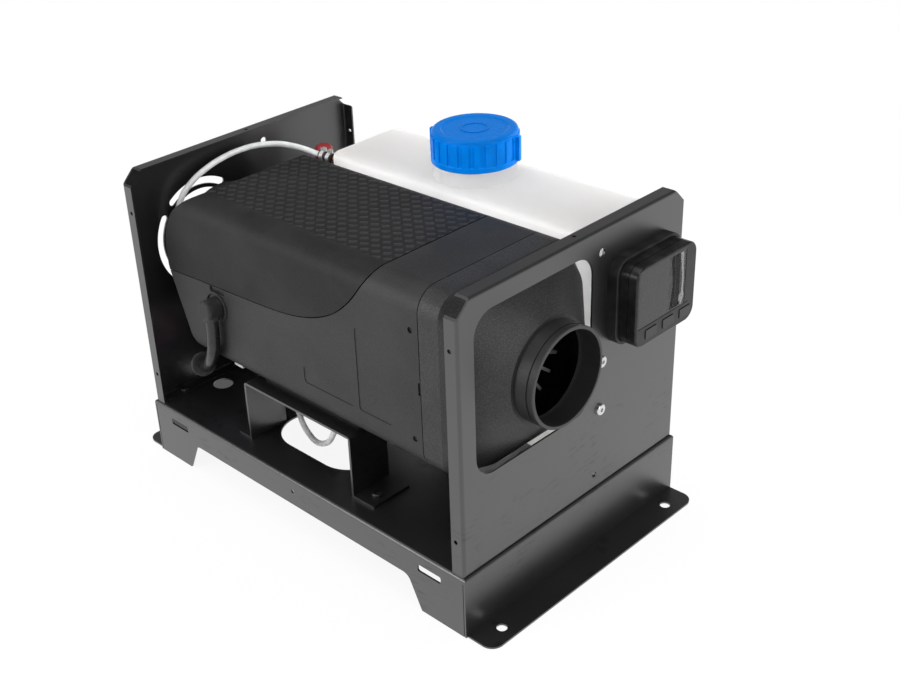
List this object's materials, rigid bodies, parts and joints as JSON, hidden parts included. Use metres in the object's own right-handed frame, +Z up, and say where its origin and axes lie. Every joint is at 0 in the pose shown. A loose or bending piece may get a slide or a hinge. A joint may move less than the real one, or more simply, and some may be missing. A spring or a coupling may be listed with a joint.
{
  "type": "diesel air heater",
  "caption": "Open-frame diesel air heater: burner casing with round warm-air collar between two folded end plates on a footed tray, beside a capped fuel tank, pump and keypad.",
  "frame": {"origin": "on the ground, under the middle of the base tray", "axes": "+X along the heater to its warm air outlet, +Y from the heater to the fuel tank, +Z up"},
  "size_m": [0.418, 0.247, 0.29],
  "materials": {
    "frame_paint": "black satin powder coat",
    "casing_plastic": "charcoal, fine grain",
    "hood_plastic": "charcoal, coarse grain",
    "tank_plastic": "milky, slightly translucent",
    "cap_plastic": "moulded",
    "liner_foam": "closed cell foam",
    "brass": "machined",
    "screw_steel": "zinc plated",
    "black_steel": "blackened",
    "shaft_steel": "ground",
    "burner_steel": "heat tinted",
    "cast_alloy": "die cast",
    "pump_alloy": "turned",
    "pump_cap_plastic": "moulded",
    "tube_nylon": "translucent, smooth",
    "black_rubber": "moulded",
    "black_plastic": "moulded",
    "red_wire": "insulation",
    "blue_wire": "insulation",
    "white_plastic": "moulded",
    "gasket_fibre": "pressed fibre",
    "circuit_board": "glass fibre with solder mask",
    "screen_glass": "clear window over a dark display",
    "controller_plastic": "polished",
    "key_plastic": "moulded"
  },
  "bodies": {
    "frame": {"base_tray": "frame_paint", "outlet_plate": "frame_paint", "inlet_plate": "frame_paint", "plate_screws": "black_steel", "upper_cover": "casing_plastic", "lower_casing": "casing_plastic", "outlet_hood": "hood_plastic", "inlet_ring": "casing_plastic", "fan_motor": "screw_steel", "blower_housing": "cast_alloy", "burner_head": "cast_alloy", "burner_tube": "burner_steel", "glow_plug": "burner_steel", "heat_exchanger": "cast_alloy", "overheat_sensor": "brass", "exhaust_stub": "burner_steel", "intake_stub": "black_plastic", "fuel_inlet": "shaft_steel", "control_board": "circuit_board", "mounting_gasket": "gasket_fibre", "heater_bracket": "frame_paint", "bracket_screws": "black_steel", "mount_studs": "screw_steel", "mount_nuts": "screw_steel", "fuel_tank": "tank_plastic", "tank_outlet": "brass", "tank_clamp": "frame_paint", "clamp_screws": "screw_steel", "tank_stop": "frame_paint", "stop_screws": "black_steel", "fuel_pump": "pump_alloy", "pump_cap": "pump_cap_plastic", "pump_holder": "black_rubber", "pump_cradle": "frame_paint", "cradle_screws": "black_steel", "suction_tube": "tube_nylon", "delivery_tube": "tube_nylon", "hose_joiners": "black_rubber", "hose_clips": "screw_steel", "wire_grommet": "black_rubber", "conduit": "black_plastic", "conduit_ferrule": "black_rubber", "wire_red": "red_wire", "wire_blue": "blue_wire", "wire_connector": "white_plastic", "controller_holder": "black_plastic", "holder_screws": "black_steel", "controller_case": "controller_plastic", "controller_back": "black_plastic", "controller_screen": "screen_glass", "controller_board": "circuit_board"},
    "rotor": {"motor_shaft": "shaft_steel", "heating_fan": "black_plastic", "combustion_wheel": "cast_alloy"},
    "cap_seal": {"cap_liner": "liner_foam"},
    "cap": {"tank_cap": "cap_plastic"},
    "plunger": {"pump_plunger": "shaft_steel"},
    "key_1": {"button_1": "key_plastic"},
    "key_2": {"button_2": "key_plastic"},
    "key_3": {"button_3": "key_plastic"}
  },
  "joints": [
    {"name": "fan_spin", "type": "hinge", "parent": "frame", "child": "rotor", "pos_m": [-0.1, -0.037, 0.184], "axis": [1, 0, 0], "continuous": true},
    {"name": "cap_lift", "type": "slide", "parent": "frame", "child": "cap_seal", "axis": [0, 0, 1], "range_m": [0, 0.018]},
    {"name": "cap_turn", "type": "hinge", "parent": "cap_seal", "child": "cap", "pos_m": [0.021, 0.075, 0.284], "axis": [0, 0, 1], "range_deg": [0, 1080]},
    {"name": "pump_stroke", "type": "slide", "parent": "frame", "child": "plunger", "axis": [0, 0, 1], "range_m": [0, 0.004], "stiffness_N_per_m": 400, "springref_m": -0.002},
    {"name": "key_1_press", "type": "slide", "parent": "frame", "child": "key_1", "axis": [-1, 0, 0], "range_m": [0, 0.0005], "stiffness_N_per_m": 300},
    {"name": "key_2_press", "type": "slide", "parent": "frame", "child": "key_2", "axis": [-1, 0, 0], "range_m": [0, 0.0005], "stiffness_N_per_m": 300},
    {"name": "key_3_press", "type": "slide", "parent": "frame", "child": "key_3", "axis": [-1, 0, 0], "range_m": [0, 0.0005], "stiffness_N_per_m": 300}
  ],
  "couplings": [
    {"joint": "cap_lift", "follows": "cap_turn", "m_per_rad": 0.000954}
  ]
}
